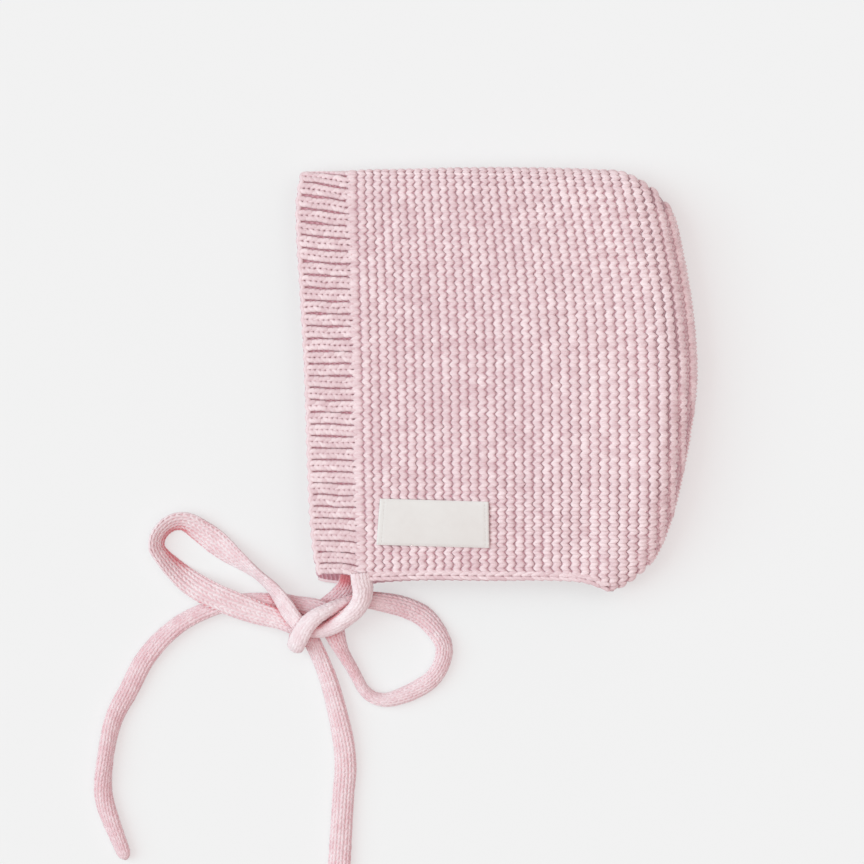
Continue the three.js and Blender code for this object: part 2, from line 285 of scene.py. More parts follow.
FAR_ROUTE = [
    (-54.8, -71.4, 5), (-55.4, -75.6, 3), (-56.7, -79.4, 1.9), (-60.2, -83.4, 1.8), (-65.4, -87.6, 1.8),
    (-72.5, -94.4, 1.8), (-74.6, -97.6, 2), (-75.2, -100.6, 4.5), (-75.5, -101.5, 7.8),
    (-74.8, -100.2, 11), (-73.4, -97.1, 13), (-71.5, -93.7, 13.5), (-68, -90.2, 13.4),
    (-63.1, -87.4, 12), (-58.2, -85.3, 9.8), (-53.3, -84.2, 7.8), (-48.4, -83.8, 7.2),
    (-43.1, -84.5, 6.4), (-37.5, -85.7, 4.8), (-31.8, -87.6, 3.2), (-26.2, -91, 2.2),
    (-19.6, -100.7, 2), (-20, -107, 2), (-23.6, -113.4, 2), (-29.3, -117.5, 2),
    (-35.1, -120.1, 2), (-40.9, -121.7, 2), (-46, -120.9, 2), (-49.6, -118, 2),
    (-51.6, -114.6, 2.2), (-54.2, -109.6, 3), (-57.8, -103.3, 4.6), (-60.4, -97, 5.6),
    (-61.6, -91.8, 5.8), (-63.8, -88.6, 5.6), (-68.4, -87, 5), (-74.7, -86.1, 3.6),
    (-80.8, -84.9, 2), (-95.4, -84.4, 1.9), (-108, -87.4, 1.9), (-120.8, -94.2, 2),
    (-131.7, -105.4, 2), (-138.5, -118, 2),
    (-144.4, -129.7, 2), (-148.2, -152.7, 2), (-147.4, -160.6, 2), (-139.5, -182, 2),
]

# %% How each tie lies along its length
# Columns: millimetres from the root, width, thickness, and roll in degrees. With a positive roll a tie turns
# its upper face towards the left of the way that it runs.
NEAR_LIE = [
    (0, 8.6, 5, 16), (6, 8.8, 5.4, 30), (12, 7.6, 5.8, 28), (18, 6.8, 5.8, 18), (24, 6.4, 5.4, 8),
    (30, 5.6, 5, 0), (36, 5.8, 4.4, 6), (46, 7.2, 3.6, 28),
    (56, 7.6, 3.4, 56), (64, 7.6, 3.2, 66), (74, 8.6, 3, 40), (84, 9.6, 2.8, 12), (92, 9.4, 2.8, 20),
    (101, 8.6, 3.2, 40), (108, 8.8, 3.2, 52), (118, 9, 3.2, 52), (126, 9.4, 2.8, 36), (136, 9.8, 2.6, 12),
    (146, 9.9, 2.6, 2), (160, 9.2, 2.8, 0), (174, 7.2, 3.2, 0), (188, 6.6, 4, -12),
    (200, 7.2, 5.2, -20), (215, 7.8, 5, -14), (232, 8.4, 4.6, -4), (248, 8.4, 4.6, 6), (282, 8.8, 4.4, -4),
]
FAR_LIE = [
    (0, 7.2, 3.6, 0), (20, 7, 3.4, 0), (33, 6.8, 3.6, 0), (41, 6.4, 4, 0), (50, 7.2, 4.8, 12),
    (57, 6.8, 5.2, 18), (64, 5.4, 5.2, 18), (71, 4.8, 4.8, 12), (78, 6, 4.4, 8), (88, 7.6, 4, 4),
    (104, 8.2, 3.8, 10), (117, 7.2, 4.8, 26), (128, 6.8, 4.8, 14), (138, 6.8, 4.6, 0), (149, 5.8, 4.6, -14),
    (157, 4.9, 4.4, -26), (166, 4.6, 4.4, -26), (176, 5.4, 4.2, -20), (185, 8, 3.6, -10),
    (193, 7.8, 3.6, -10), (203, 7.6, 3.6, -16), (224, 6.8, 4.2, -38), (238, 6.8, 5, -30), (252, 7.2, 5, -24),
    (268, 7.6, 4.6, -10), (284, 7.6, 4.8, 8), (298, 7.2, 5, 24), (309, 7, 5.2, 36), (322, 7.2, 5, 20),
    (334, 7, 4.8, -10), (345, 6, 4.4, -16), (353, 5, 4, -20),
]
TIE_WIDTH, TIE_THICK = 8.2, 3.4  # of the section on which the columns of stitches are shared out

# %% A tie's middle line and its surface
TIE_STEP = 0.5  # between the points of a middle line
END_ROUND = 3.2  # length of a tail's rounded end
HEIGHT_EASE, SIDE_EASE = 6, 9  # points over which a tie's height and its side direction are evened out


def oval_angle(share):
    """The angle at a share of the way round a tie's oval section, from the middle of its upper face."""
    angle = np.linspace(0.5, 2.5, 2000) * math.pi
    length = lengths_along(np.stack([np.cos(angle) * TIE_WIDTH, np.sin(angle) * TIE_THICK], axis=1))
    return np.interp(np.mod(share, 1) * length[-1], length, angle)


def softened(columns, reach):
    window = np.hanning(2 * reach + 1)
    padded = np.pad(columns, ((reach, reach), (0, 0)), mode="edge")
    return np.stack([np.convolve(c, window / window.sum(), "valid") for c in padded.T], axis=1)


def tie_frame(route, lie):
    """The tie's middle line, side and up directions, half width and half thickness, in columns."""
    path = line_through(route, TIE_STEP)
    along = lengths_along(path)
    places = np.array(lie, float)
    width, thick, roll = (smooth_through(places[:, [0, k]], along) for k in (1, 2, 3))
    left = np.clip((along[-1] - along) / END_ROUND, 0, 1)
    close = np.sqrt(np.maximum(1 - (1 - left) ** 2, 0.02))
    half_wide, half_thick = width / 2 * close, thick / 2 * close
    tilt = np.radians(roll)
    standing = np.hypot(half_wide * np.sin(tilt), half_thick * np.cos(tilt))
    path[:, 2:] = softened(np.maximum(path[:, 2], standing + 2 * TABLE_GAP)[:, None], HEIGHT_EASE)
    ahead = unit(np.gradient(path, axis=0))
    side = unit(np.cross(ahead, (0, 0, 1)))
    for i in range(1, len(side)):
        if side[i] @ side[i - 1] < 0:
            side[i] = -side[i]
    side = softened(side, SIDE_EASE)
    side = unit(side - ahead * (side * ahead).sum(axis=1, keepdims=True))
    up = np.cross(side, ahead)
    turned = side * np.cos(tilt)[:, None] + up * np.sin(tilt)[:, None]
    up = up * np.cos(tilt)[:, None] - side * np.sin(tilt)[:, None]
    return np.concatenate([path, turned, up, half_wide[:, None], half_thick[:, None]], axis=1)


def on_tube(table, along, share, depth):
    """Points at lengths along the tube and shares round it, some depth under its surface, and outward."""
    row = at_lengths(table, along)
    side, up = row[..., 3:6], row[..., 6:9]
    a, b = np.maximum(row[..., 9:10] - depth, 0.1), np.maximum(row[..., 10:11] - depth, 0.1)
    angle = oval_angle(share)[..., None]
    place = row[..., :3] + side * a * np.cos(angle) + up * b * np.sin(angle)
    return place, unit(side * np.cos(angle) / a + up * np.sin(angle) / b)


# %% Where a tie is tucked in or pulled tight
# Painted shade: a leg that faces another strand or a hollow close by is coloured a deeper red.
TUCK_REACH, HOLLOW_REACH = 3.6, 5.7  # how near another strand or a hollow has to be
OWN_STRETCH = 14  # a tie's points are its own stretch, and no other strand, this far along
FULL_TUCK_SHADE = 1.2  # sum of all that is faced at which a leg is fully tucked
# The knot's pull also paints the yarn high on the knot paler, as painted light.
KNOT_FROM, KNOT_RISE = 6, 6  # height at which the knot's pull begins, and the rise to its full pull
LOOP_INSIDE = [(-117.5, -58.5, 2), (-121.6, -60.4, 2), (-120.6, -64.4, 2), (-115.5, -69.5, 2)]
BAND_OPENING = [(-67, -73.6, 9), (-55, -74, 9), (-44, -74.4, 9)]
UNDER_KNOT = [(-60.5, -97, 11), (-57.5, -103.5, 10), (-53.8, -110, 8), (-51, -115, 6)]
# The hollows of each tie, with their strength. The yarn that faces them gets painted shade, and UNDER_KNOT
# paints the knot's shade on the strand beneath it.
SHADE_HOLLOWS = [[(0.4, LOOP_INSIDE)], [(1.0, BAND_OPENING), (0.13, UNDER_KNOT)]]


def painted_tuck_shade(place, out, along, own):
    """How much of what each point faces is another strand or a hollow close by, from 0 to 1; it paints shade
    there.
    """
    seen = np.zeros(along.shape)
    lines = [(1, TUCK_REACH, line) for line in strands]
    for strength, places in SHADE_HOLLOWS[own]:
        lines.append((strength, HOLLOW_REACH, line_through(places, TIE_STEP)))
    for number, (strength, reach, line) in enumerate(lines):
        for length, spot in zip(lengths_along(line)[::4], line[::4]):
            away = spot - place
            distance = np.linalg.norm(away, axis=-1)
            facing = np.clip((away * out).sum(axis=-1) / distance, 0, 1)
            same = (number == own) & (np.abs(along - length) < OWN_STRETCH)
            seen += np.where(same, 0, strength * facing * np.exp(-((distance / reach) ** 2)))
    return np.clip(seen / FULL_TUCK_SHADE, 0, 1)


def knot_pull_and_light(place):
    """Where the ties climb over each other in the knot they are pulled tight and smooth, from 0 to 1. The
    same value paints the high knot paler as painted light.
    """
    return np.clip((place[..., 2] - KNOT_FROM) / KNOT_RISE, 0, 1)


# %% The stitches of a tie and its inner tube
TIE_WALES = 7  # columns of V stitches round the tube
TIE_STITCH = 1.95  # length of one V along the tie
TIE_LEG_LONG, TIE_LEG_BACK = 1.75, 0.4  # length of a leg and how far before its row it starts, in stitches
TIE_LEG_ROOT, TIE_LEG_SWING = 0.07, 0.33  # where a leg starts beside its column's middle, and its swing out
TIE_LEG_POINTS = 7
TIE_LEG_WIDE = 0.6
TIE_LEG_HIGH = 0.4
TIE_DIP = 0.28  # how far a leg's ends dive into the tie
CORE_DEPTH = 0.3  # of the inner tube under the legs' crests
CORE_SIDES = 24
# Painted shade: a tucked-in leg counts deeper in its colour only, not in its shape.
TUCK_SHADE_DEPTH = 1.4  # how much deeper a leg that is tucked in counts when it is coloured
# Painted light and shade along each tie: higher numbers are paler where the tie lies in the light, lower ones
# deeper where it lies in the knot's shade.
TIE_PAINTED_LIGHT = [  # of the near and the far tie where they lie loose, by the length from the root
    [(0, 0.56), (60, 0.56), (75, 0.75), (180, 0.75), (200, 0.4), (282, 0.4)],
    [(0, 0.06), (90, 0.06), (110, 0.5), (150, 0.5), (165, 0.06), (352, 0.06)],
]


def tie_legs(table, own):
    total = lengths_along(table[:, :3])[-1]
    rows = int(round(total / TIE_STITCH))
    pitch = total / rows
    row = np.arange(rows)[:, None, None, None]
    wale = np.arange(TIE_WALES)[None, :, None, None]
    hand = np.array([-1, 1])[None, None, :, None]
    w = np.linspace(0, 1, TIE_LEG_POINTS)
    shape = (rows, TIE_WALES, 2, len(w))
    loose = chance.standard_normal(shape[:3] + (1,))
    along = np.clip((row + TIE_LEG_LONG * w - TIE_LEG_BACK + 0.04 * loose) * pitch, 0, total)
    share = (wale + hand * (TIE_LEG_ROOT + TIE_LEG_SWING * w) + 0.01 * loose) / TIE_WALES
    along, share = (np.broadcast_to(v, shape) for v in (along, share))
    place, out = on_tube(table, along, share, TIE_LEG_HIGH)
    tight = knot_pull_and_light(place)
    level = -TIE_DIP * (2 * w - 1) ** 4 * (1 - 0.7 * tight) + 0.03 * loose
    path = (place + out * level[..., None]).reshape(-1, len(w), 3)
    ups = out.reshape(path.shape)
    tucked = painted_tuck_shade(place, out, along, own)
    # The tucked-in shade deepens only the lift attribute that colours the leg: painted shade.
    level = (level - TUCK_SHADE_DEPTH * tucked).reshape(path.shape[:2])
    tight = tight.reshape(level.shape)
    wide = TIE_LEG_WIDE * (1 + 0.3 * tight)
    painted_light_by_length = np.interp(along, *np.transpose(TIE_PAINTED_LIGHT[own])).reshape(level.shape)
    # The tone is partly random and partly painted light: paler high on the knot and along the lit stretches.
    tone = 0.35 * chance.uniform(0, 1, (len(path), 1)) + 0.65 * np.maximum(tight, painted_light_by_length)
    return yarn_legs(path, ups, w, wide, TIE_LEG_HIGH, level, PLAIN_CORNERS, tone)


def tie_core(table, own):
    total = lengths_along(table[:, :3])[-1]
    along = np.linspace(0, total, int(total) + 1)[:, None]
    share = np.linspace(1, 0, CORE_SIDES, endpoint=False)[None]
    along, share = np.broadcast_arrays(along, share)
    place, out = on_tube(table, along, share, CORE_DEPTH)
    tight = knot_pull_and_light(place)
    # The inner tube's colour is painted: deeper than the legs as painted shade in the gaps, paler high on the
    # knot as painted light, and deeper where it faces another strand or a hollow.
    lift = 0.3 * tight - 0.15 - TUCK_SHADE_DEPTH * painted_tuck_shade(place, out, along, own)
    values = {"lift": lift, "along": along, "turn": share, "tone": 0.5 + 0.4 * tight}
    return (place + out * (0.18 * tight)[..., None])[None], values


# %% Knit the two ties
def knitted_tie(name, node, own):
    table = tie_tables[own]
    tie = yarn_piece(name, [tie_legs(table, own), tie_core(table, own)])
    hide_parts(node)
    return tie


tie_tables = [tie_frame(NEAR_ROUTE, NEAR_LIE), tie_frame(FAR_ROUTE, FAR_LIE)]
strands = [table[:, :3] for table in tie_tables]
near_tie = knitted_tie("near_tie", "tie_near", 0)
far_tie = knitted_tie("far_tie", "tie_far", 1)

# %% [markdown]
# ## The shape of the two layers
# Seen from above, the bonnet is bounded by the band's face edge, the crown fold, the back and the neck
# edge. Its height comes from one rule: both layers meet at the fold and round away from it, the upper one
# high and slowly, the lower one quickly down to the table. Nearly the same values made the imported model, so
# the knitting lies within about a millimetre of it.

# %% Edges of the bonnet
GAP = 0.3  # between the band and the crown
SEAM_HEIGHT = 8
FOLD_REACH, FLOOR_REACH = 15, 6  # how far in the upper and the lower layer round off
NECK_HEIGHT, NECK_RISE = 14, 42
RIDGES = 36
RIDGE_SPREAD = 0.06  # how much closer the front ridges stand than the back ones
RIBS = 33
BACK_EDGE = [
    (-80, 45.4), (-76, 51.6), (-68, 60), (-55.5, 65.7), (-40, 69.9), (-20, 73.7), (2, 76), (28, 74),
    (50, 70.1), (60, 67.6), (67, 63.6), (72, 57.9), (76, 50.4), (78.5, 40.6), (80, 22),
]
FACE_EDGE = [(-76, -66.6), (-64, -69), (-43, -70.6), (3, -72.2), (28, -73.6), (64, -75.4), (80, -73)]
BAND_JOINT = [(-77, -48.6), (0, -50.2), (80, -52.3)]
CROWN_EDGE = [(-76, 77.7), (-52, 78.1), (0, 79.1), (34, 78.5), (76, 76.5)]
NECK_EDGE = [(-68, -73.4), (-48, -74.8), (-27, -74.3), (0, -74.6), (24, -74.8), (34, -75.8), (44, -79.6)]
LAST_RIDGE = [(-80, 75.8), (2, 75.8), (28, 73.8), (50, 69.8), (80, 62.6)]
FAR_DROP = [  # how far the lower layer's neck edge shows below the upper one's
    (-76, 0.6), (-70, 1.2), (-67, 2.6), (-63.5, 3.6), (-54, 3.4), (-46, 1.4), (-36, 0.8),
    (0, 0.6), (24, 0.2), (40, 0), (80, 0),
]
DROP_REACH = 26  # distance from the neck over which the drop fades
LAYER_HEIGHT = [(-76, 13.4), (-50, 15), (-10, 19), (30, 22), (60, 22), (76, 20)]
print(RIDGES, "ridges and", RIBS, "ribs")


# %% Heights and columns of the two layers
def fold_distance(x, y):
    down = np.maximum(smooth_through(CROWN_EDGE, x) - y, 0)
    front = np.maximum(smooth_through(BACK_EDGE, y) - x, 0)
    return down * front / np.maximum(np.hypot(down, front), 1e-9)


def rounding(distance, reach):
    out = 1 - np.clip(distance / reach, 0, 1)
    return np.sqrt(1 - out * out)


def layer_top(x, y):
    t = np.clip((y - smooth_through(NECK_EDGE, x)) / NECK_RISE, 0, 1)
    return NECK_HEIGHT + (smooth_through(LAYER_HEIGHT, x) - NECK_HEIGHT) * eased(t)


def heights(x, y, inset):
    distance = fold_distance(x, y) - inset
    up = layer_top(x, y) - inset - SEAM_HEIGHT
    top = SEAM_HEIGHT + up * rounding(distance, FOLD_REACH - inset)
    bottom = SEAM_HEIGHT - (SEAM_HEIGHT - inset) * rounding(distance, FLOOR_REACH - inset)
    return top, bottom


def ridge_x(share, y):
    spread = share + RIDGE_SPREAD * (share**3 - share)
    first = smooth_through(BAND_JOINT, y) + GAP / 2
    return first + (smooth_through(LAST_RIDGE, y) - first) * spread


def band_x(share, y):
    face = smooth_through(FACE_EDGE, y)
    return face + (smooth_through(BAND_JOINT, y) - GAP / 2 - face) * share


# %% [markdown]
# A sheet of cloth here is a grid of points: one way across the stitches' columns, the other way from the
# upper layer's neck edge over the crown fold to the lower layer's neck edge. Its slopes give the direction
# that the yarn stands out in at each point.

# %% The crown and the band as grids
EDGE = 0.02
MIDDLE_Y, BEYOND_Y = 24, 90  # a place inside every ridge line, and one past its ends
HALVINGS = 40


def edge_along(share, toward, inset):
    """Halve the way from the middle of each ridge line to where it leaves the bonnet, and return that y."""
    a = np.full(share.shape, float(MIDDLE_Y))
    b = np.full(share.shape, float(toward))
    for _ in range(HALVINGS):
        middle = (a + b) / 2
        x = ridge_x(share, middle)
        inside = (fold_distance(x, middle) > inset + EDGE) & (middle > smooth_through(NECK_EDGE, x))
        a = np.where(inside, middle, a)
        b = np.where(inside, b, middle)
    return a


def two_layers(x, y, inset):
    """A grid that goes up the upper layer and back down the lower one, which shows a little at the neck."""
    top, bottom = heights(x, y, inset)
    above_neck = np.clip((y - smooth_through(NECK_EDGE, x)) / DROP_REACH, 0, 1)
    lower_y = y - smooth_through(FAR_DROP, x) * (1 - above_neck) ** 2
    near = np.stack([x, y, top], axis=-1)
    far = np.stack([x, lower_y, bottom], axis=-1)
    return np.concatenate([near, far[:, ::-1]], axis=1)


def crown_grid(share, inset, count):
    high = edge_along(share, BEYOND_Y, inset)[:, None]
    low = edge_along(share, -BEYOND_Y, inset)[:, None]
    y = low + (high - low) * (1 - np.cos(np.linspace(0, math.pi, count))) / 2
    return two_layers(ridge_x(share[:, None], y), y, inset)


def band_grid(share, inset, count):
    x = band_x(share, 0.0)
    low = smooth_through(NECK_EDGE, x)[:, None]
    high = (smooth_through(CROWN_EDGE, x) - inset - EDGE)[:, None]
    y = low + (high - low) * np.sin(np.linspace(0, math.pi / 2, count))
    return two_layers(band_x(share[:, None], y), y, inset)


def outward(grid):
    return unit(np.cross(np.gradient(grid, axis=0), np.gradient(grid, axis=1)))


# %% [markdown]
# ## The garter ridges
# Two rows of garter stitch make one ridge. Its yarn swings from side to side, and the swings of all ridges
# keep step, so that the heads of one ridge reach between the feet of the next and only a thin zigzag line
# shows between them. A ridge is therefore one strand that swings, with a section nearly as wide as the way
# to the next ridge. The section stays square to the ridge and not to the swinging yarn: both edges are then
# the same zigzag and fit their neighbours.

# %% One garter ridge
STITCH = 3.07  # length of one stitch along a ridge
HEAD_REACH = 0.52  # how far the yarn swings out from the middle of its ridge
LOOP_RISE = 0.18  # how far the middle of each leg stands above the heads and feet
RIDGE_FILL = 0.457  # half width of the yarn as a share of the way to the next ridge
RIDGE_HIGH = 0.72
RIDGE_INSET = 0.65  # depth of the yarn's line under the bonnet's mean surface
SHARP = 0.86  # 1 would turn the swing into straight legs with sharp corners
RIDGE_LOOSE = 0.09  # how unevenly the yarn lies up and down


# The argument pale adds painted light to the yarn's lift and tone, and painted shade where it is below zero.
def ridge_yarn(line, out, pitch, zero, first, last, steps, corners, pale=0):
    """The yarn of one ridge between two stitch numbers. Stitch 0 lies at the length zero of the line."""
    count = (last - first) * steps
    t = np.linspace(first, last, count + 1)
    middle = at_lengths(np.column_stack([line, out, pitch]), zero + STITCH * t)
    centre, up = middle[:, :3], unit(middle[:, 3:6])
    across = unit(np.cross(np.gradient(centre, axis=0), up))
    own = chance.uniform(-1, 1, (4, 2 * (last - first) + 2))
    leg_number = np.arange(own.shape[1])
    reach, plump, lift, tone = (np.interp(2 * (t - first), leg_number, row) for row in own)
    leg = -np.cos(4 * math.pi * t)
    swing = np.arcsin(SHARP * np.cos(2 * math.pi * t)) / math.asin(SHARP)
    wander = 0.08 * np.sin(0.31 * t + chance.uniform(0, 6))
    level = LOOP_RISE * leg + RIDGE_LOOSE * lift
    beside = HEAD_REACH * swing * (1 + 0.4 * reach) + wander
    path = centre + across * beside[:, None] + up * level[:, None]
    ends = np.minimum(np.arange(count + 1), np.arange(count + 1)[::-1])
    close = np.where(ends < 1, 0.05, 1)
    wide = RIDGE_FILL * middle[:, 6] * (1 + 0.075 * plump) * close
    high = RIDGE_HIGH * (1 + 0.12 * leg) * close
    return one_strand(path, across, up, wide, high, level + pale, corners, (0.5 + 0.5 * tone + pale)[None])


def ridge_span(line):
    """The length at which a ridge passes y = 0, and its first stitch, the one at the fold and its last."""
    length = lengths_along(line)
    half = len(line) // 2
    zero = np.interp(0, line[:half, 1], length[:half])
    ends = (-zero, length[half] - zero, length[-1] - zero)
    return zero, [int(round(end / STITCH)) for end in ends]


# %% Knit the crown's ridges
LINE_POINTS = 160  # of each layer's ridge line
NARROWEST, WIDEST = 2.6, 3.7  # ridges
NEAR_STEPS, FAR_STEPS = 10, 6  # points to a stitch on the upper and the lower layer
# Painted light: the ridges towards the back are coloured paler and counted as more lifted.
BACK_PAINTED_LIGHT = 0.2  # how much paler and more lifted the yarn counts at the back
PALE_FROM, PALE_REACH = 0.5, 0.3  # share of the ridges at which that begins, and over which it grows
ridge_share = (np.arange(RIDGES) + 0.5) / RIDGES
ridge_lines = crown_grid(ridge_share, RIDGE_INSET, LINE_POINTS)
ridge_out = outward(ridge_lines)
ridge_across = unit(np.cross(np.gradient(ridge_lines, axis=1), ridge_out))
ridge_pitch = np.abs((np.gradient(ridge_lines, axis=0) * ridge_across).sum(axis=-1))
ridge_pitch = np.clip(ridge_pitch, NARROWEST, WIDEST)
near_parts, far_parts = [], []
for share, line, out, pitch in zip(ridge_share, ridge_lines, ridge_out, ridge_pitch):
    zero, (start, fold, end) = ridge_span(line)
    pale = BACK_PAINTED_LIGHT * np.clip((share - PALE_FROM) / PALE_REACH, 0, 1)
    near_parts.append(ridge_yarn(line, out, pitch, zero, start, fold + 1, NEAR_STEPS, UPPER_CORNERS, pale))
    far_parts.append(ridge_yarn(line, out, pitch, zero, fold + 1, end, FAR_STEPS, PLAIN_CORNERS))
print("ridge pitch", ridge_pitch[:, LINE_POINTS // 2].round(2))

# %% [markdown]
# Round the back fold the cloth turns steeply, and the crown's ridges run out into it at a slant. So three
# more follow the fold itself: one above it on the upper part of the back, one on the seam and one below it.
# Other rows along the fold lie deeper, and show only where the crown's ridges leave room between them.
# Their colour is darkened further as painted shade.

# %% Ridges along the back fold
FOLD_ROWS = [(1.0, 0), (0.35, 0), (0.02, 0), (0.25, 1), (1.0, 1)]  # depth in from the fold, and the layer
FOLD_FROM, FOLD_TO = -76, 64
ROW_FROM = (-14, -75, -62)  # y at which each of the three rows starts
FILL_ROWS = [(8, 0), (5.6, 0), (3.3, 0), (1.6, 0), (0.4, 0), (0.4, 1), (1.65, 1), (3.3, 1), (4.5, 1)]
FILL_INSET = 1.25  # deeper than the crown's own ridges
FILL_STEPS = 8
# Painted shade: the deeper fill rows are coloured deeper still.
FILL_PAINTED_SHADE = -0.4  # below zero is deeper, like the hollows between the ridges
FOLD_PITCH = 3.0


def fold_line(depth, layer, inset):
    y = np.linspace(FOLD_FROM, FOLD_TO, LINE_POINTS)
    x = smooth_through(BACK_EDGE, y) - inset - depth
    return np.stack([x, y, heights(x, y, inset)[layer]], axis=-1)


def fold_ridges(rows, inset, starts, steps, pale):
    """Ridges along the fold. The first and the last row are only there to give the others their slope."""
    grid = np.array([fold_line(depth, layer, inset) for depth, layer in rows])
    parts = []
    for line, out, start in zip(grid[1:-1], outward(grid)[1:-1], starts):
        length = lengths_along(line)
        zero = np.interp(0, line[:, 1], length)
        first = max(int(-zero / STITCH), int(start / STITCH))
        last = int((length[-1] - zero) / STITCH)
        pitch = np.full(len(line), FOLD_PITCH)
        parts.append(ridge_yarn(line, out, pitch, zero, first, last, steps, UPPER_CORNERS, pale))
    return parts


fold_parts = fold_ridges(FOLD_ROWS, RIDGE_INSET, ROW_FROM, NEAR_STEPS, BACK_PAINTED_LIGHT)
fill_parts = fold_ridges(FILL_ROWS, FILL_INSET, [FOLD_FROM] * len(FILL_ROWS), FILL_STEPS, FILL_PAINTED_SHADE)
front_ridges = yarn_piece("front_ridges", near_parts[: RIDGES // 2])
back_ridges = yarn_piece("back_ridges", near_parts[RIDGES // 2 :] + fold_parts + fill_parts)
under_ridges = yarn_piece("under_ridges", far_parts)

# %% [markdown]
# ## The cloth behind the ridges
# Between and behind the ridges lies the rest of the knitting, which the eye sees only as a deeper pink in
# the valleys and as the inside of the hood. A plain shell just under the yarn does this, thickened inwards
# with a Solidify modifier and coloured a deeper pink than the yarn as painted shade. Its material carries
# the ridges of the inner side as bump, and its colour is darker in their low parts, also painted shade.

# %% The crown's shell
SHELL_INSET = 0.8
SHELL_THICK = 1.2
SHELL_COLUMNS, SHELL_ROWS = 72, 40
UNDER_JOIN = 0.01  # share of the crown's depth by which the shell reaches under the joining row
SHUT_HEIGHT = 4  # the neck counts as closed where its two layers are no further apart


def sheet_quads(columns, rows):
    index = np.arange(columns * rows).reshape(columns, rows)
    corners = [index[:-1, :-1], index[1:, :-1], index[1:, 1:], index[:-1, 1:]]
    return np.stack(corners, axis=-1).reshape(-1, 4)


def thickened(piece, thick):
    solid = piece.modifiers.new("cloth_thickness", "SOLIDIFY")
    solid.thickness = thick * MM
    solid.offset = -1


# %% Lay the shell under the ridges
crown_share = np.linspace(-UNDER_JOIN, 1, SHELL_COLUMNS + 1)
crown_cloth = crown_grid(crown_share, SHELL_INSET, SHELL_ROWS)
columns, rows = crown_cloth.shape[:2]
back = (columns - 1) * rows + np.arange(rows)
half = rows // 2
back_quads = np.stack([back[: half - 1], back[::-1][: half - 1], back[::-1][1:half], back[1:half]], axis=1)
shut = np.flatnonzero(np.abs(crown_cloth[:, 0, 2] - crown_cloth[:, -1, 2]) < SHUT_HEIGHT)[:-1] * rows
shut_quads = np.stack([shut, shut + rows - 1, shut + 2 * rows - 1, shut + rows], axis=1)
shell_values = {
    "along": np.repeat(crown_share * RIDGES, rows),
    "turn": np.concatenate([lengths_along(line) / STITCH for line in crown_cloth]),
}
shell_quads = np.concatenate([sheet_quads(columns, rows), back_quads, shut_quads])
crown_shell = knit_piece("crown_cloth", lie_on_table(crown_cloth), shell_quads, shell_values)
thickened(crown_shell, SHELL_THICK)
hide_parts("crown")

# %% [markdown]
# ## The ribbed band
# A rib is one column of knit stitches standing up between sunken ones. Each knit stitch shows two fat legs
# that lean together in a V, so a rib has a row of dots along its middle and a thin dark line at each side.
# The legs are placed on a grid whose one way runs from the face edge to the crown and whose other way
# counts the ribs. On the real bonnet the ribs near the crown slope down towards the crown part, and the
# last ones at the neck arch.

# %% Places on the band
RIB_SPREAD = 0.09  # how much wider than the mean the ribs are at the crown, and narrower at the neck
BAND_ACROSS, STEPS_PER_RIB = 12, 8  # steps of the band's grid
BAND_POINTS = 200  # of each layer, before they are shared out
FOLD_SHIFT = 3  # steps by which the upper layer holds more than the lower one
RIB_INSET = 0.75
RIB_LEAN = 0.95  # how many ribs the face end is set higher than the other end, at the crown
LEAN_REACH = 13  # ribs over which the lean fades
RIB_ARCH = 0.2  # how many ribs the lowest ones bend down at both ends
ARCH_REACH = 6


def band_places(inset):
    """The band as a grid with an even count of steps for each rib, on both layers."""
    dense = band_grid(np.linspace(0, 1, BAND_ACROSS + 1), inset, BAND_POINTS)
    upper, lower = (np.linspace(0, 1, RIBS * STEPS_PER_RIB + 1 + side * FOLD_SHIFT) for side in (1, -1))
    upper, lower = (k + RIB_SPREAD * (k * k - k) for k in (upper, lower))
    rows = []
    for line in dense:
        near, far = line[:BAND_POINTS], line[BAND_POINTS:]
        up = at_lengths(near, upper * lengths_along(near)[-1])
        down = at_lengths(far, (1 - lower[::-1]) * lengths_along(far)[-1])
        rows.append(np.concatenate([up, down]))
    return np.array(rows)


def on_grid(grid, u, v):
    """Read a grid between its points. u and v count the grid's steps."""
    u, v = np.broadcast_arrays(u, v)
    i = np.clip(np.floor(u).astype(int), 0, grid.shape[0] - 2)
    j = np.clip(np.floor(v).astype(int), 0, grid.shape[1] - 2)
    a, b = (u - i)[..., None], (v - j)[..., None]
    first = grid[i, j] * (1 - b) + grid[i, j + 1] * b
    second = grid[i + 1, j] * (1 - b) + grid[i + 1, j + 1] * b
    return first * (1 - a) + second * a


# %% Measure the band
band_surface = band_places(RIB_INSET)
band_out = outward(band_surface)
upper_steps = RIBS * STEPS_PER_RIB
measured_at = 25 * STEPS_PER_RIB  # the band's width is taken at a rib in its upper part
band_wide = float(np.linalg.norm(band_surface[-1, measured_at] - band_surface[0, measured_at]))
rib_wide = float(lengths_along(band_surface[BAND_ACROSS // 2, :upper_steps])[-1]) / RIBS
print("band", round(band_wide, 1), "mm wide, ribs", round(rib_wide, 2), "mm")


def on_band(x, rib):
    """Places and outward directions at millimetres in from the face edge and at a rib number."""
    across = x / band_wide
    lean = RIB_LEAN * np.clip(1 - np.abs(rib - RIBS) / LEAN_REACH, 0, 1)
    arch = RIB_ARCH * np.clip(1 - rib / ARCH_REACH, 0, 1)
    rib = rib + lean * (0.5 - across) - arch * (2 * across - 1) ** 2
    u, v = across * BAND_ACROSS, rib * STEPS_PER_RIB
    return on_grid(band_surface, u, v), on_grid(band_out, u, v)


# %% The V stitches of the ribs
RIB_STITCH = 2.05
RIB_ROWS = 9
RIB_FIRST = 1.5  # distance of the first V from the face edge
RIB_LEG_LONG, RIB_LEG_BACK = 4.3, 1.0  # length of a leg, and how far before its row it starts
RIB_LEG_ROOT, RIB_LEG_SWING = 0.34, 0.77  # where a leg starts beside the rib's middle, and its swing out
RIB_LEG_WIDE = 0.98
RIB_LEG_HIGH = 0.75


